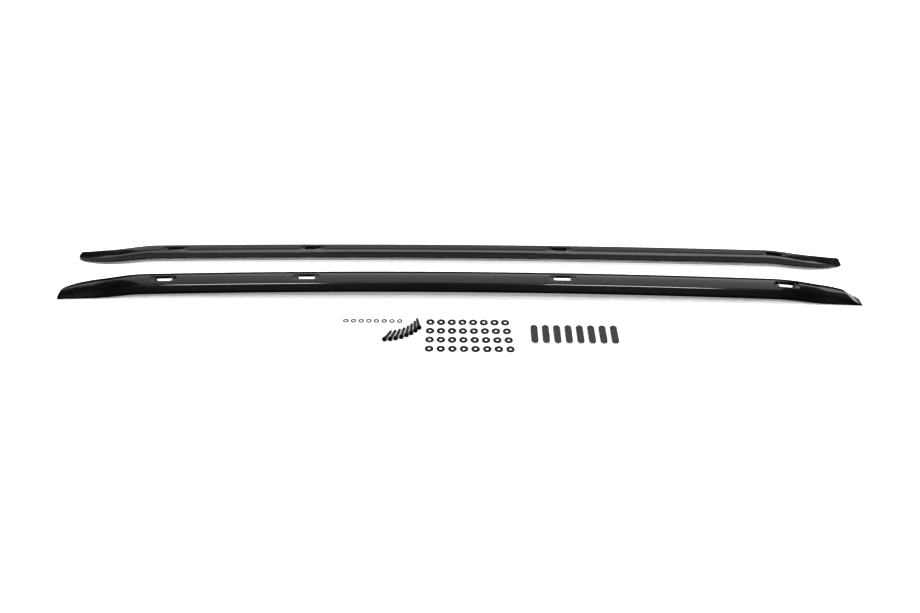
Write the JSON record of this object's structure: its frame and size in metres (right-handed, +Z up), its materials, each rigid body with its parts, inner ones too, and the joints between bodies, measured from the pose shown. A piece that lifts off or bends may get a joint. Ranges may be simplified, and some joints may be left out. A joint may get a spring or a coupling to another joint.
{
  "type": "roof side rail pair",
  "caption": "Pair of arched gloss-black flush roof side rails with slotted tops, bright base strips and rubber seals, with loose slot caps, socket bolts and washers.",
  "frame": {"origin": "centre of the whole set's footprint, on the ground that the rails' tips rest on", "axes": "+X along the rails from the front of the vehicle to its rear, +Y across them from the left rail to the right one, +Z up"},
  "size_m": [1.775, 0.3312, 0.0488],
  "materials": {
    "gloss_black_paint": "deep gloss black paint on aluminium",
    "bright_aluminium": "satin mill-finish aluminium",
    "black_rubber": "matt black rubber",
    "foot_plastic": "matt glass-filled black plastic",
    "cap_plastic": "fine-grained dark grey plastic",
    "black_steel": "black oxide steel with a film of oil",
    "spring_steel": "zinc-plated spring steel",
    "washer_black": "semi-matt black washers"
  },
  "bodies": {
    "root": {"left_shell_1": "gloss_black_paint", "left_shell_2": "gloss_black_paint", "left_shell_3": "gloss_black_paint", "left_shell_4": "gloss_black_paint", "left_shell_5": "gloss_black_paint", "left_shell_6": "gloss_black_paint", "left_shell_7": "gloss_black_paint", "left_base_strip_1": "bright_aluminium", "left_base_strip_2": "bright_aluminium", "left_base_strip_3": "bright_aluminium", "left_base_strip_4": "bright_aluminium", "left_base_strip_5": "bright_aluminium", "left_base_strip_6": "bright_aluminium", "left_seal_1": "black_rubber", "left_seal_2": "black_rubber", "left_seal_3": "black_rubber", "left_seal_4": "black_rubber", "left_seal_5": "black_rubber", "left_seal_6": "black_rubber", "left_foot_1": "foot_plastic", "left_foot_2": "foot_plastic", "left_foot_3": "foot_plastic", "left_foot_4": "foot_plastic", "right_shell_1": "gloss_black_paint", "right_shell_2": "gloss_black_paint", "right_shell_3": "gloss_black_paint", "right_shell_4": "gloss_black_paint", "right_shell_5": "gloss_black_paint", "right_shell_6": "gloss_black_paint", "right_shell_7": "gloss_black_paint", "right_base_strip_1": "bright_aluminium", "right_base_strip_2": "bright_aluminium", "right_base_strip_3": "bright_aluminium", "right_base_strip_4": "bright_aluminium", "right_base_strip_5": "bright_aluminium", "right_base_strip_6": "bright_aluminium", "right_seal_1": "black_rubber", "right_seal_2": "black_rubber", "right_seal_3": "black_rubber", "right_seal_4": "black_rubber", "right_seal_5": "black_rubber", "right_seal_6": "black_rubber", "right_foot_1": "foot_plastic", "right_foot_2": "foot_plastic", "right_foot_3": "foot_plastic", "right_foot_4": "foot_plastic", "slot_cap_1": "cap_plastic", "slot_cap_2": "cap_plastic", "slot_cap_3": "cap_plastic", "slot_cap_4": "cap_plastic", "slot_cap_5": "cap_plastic", "slot_cap_6": "cap_plastic", "slot_cap_7": "cap_plastic", "slot_cap_8": "cap_plastic", "socket_bolts": "black_steel", "spring_washers": "spring_steel", "flat_washers_row_1": "washer_black", "flat_washers_row_2": "washer_black", "flat_washers_row_3": "washer_black", "flat_washers_row_4": "washer_black"}
  },
  "joints": []
}
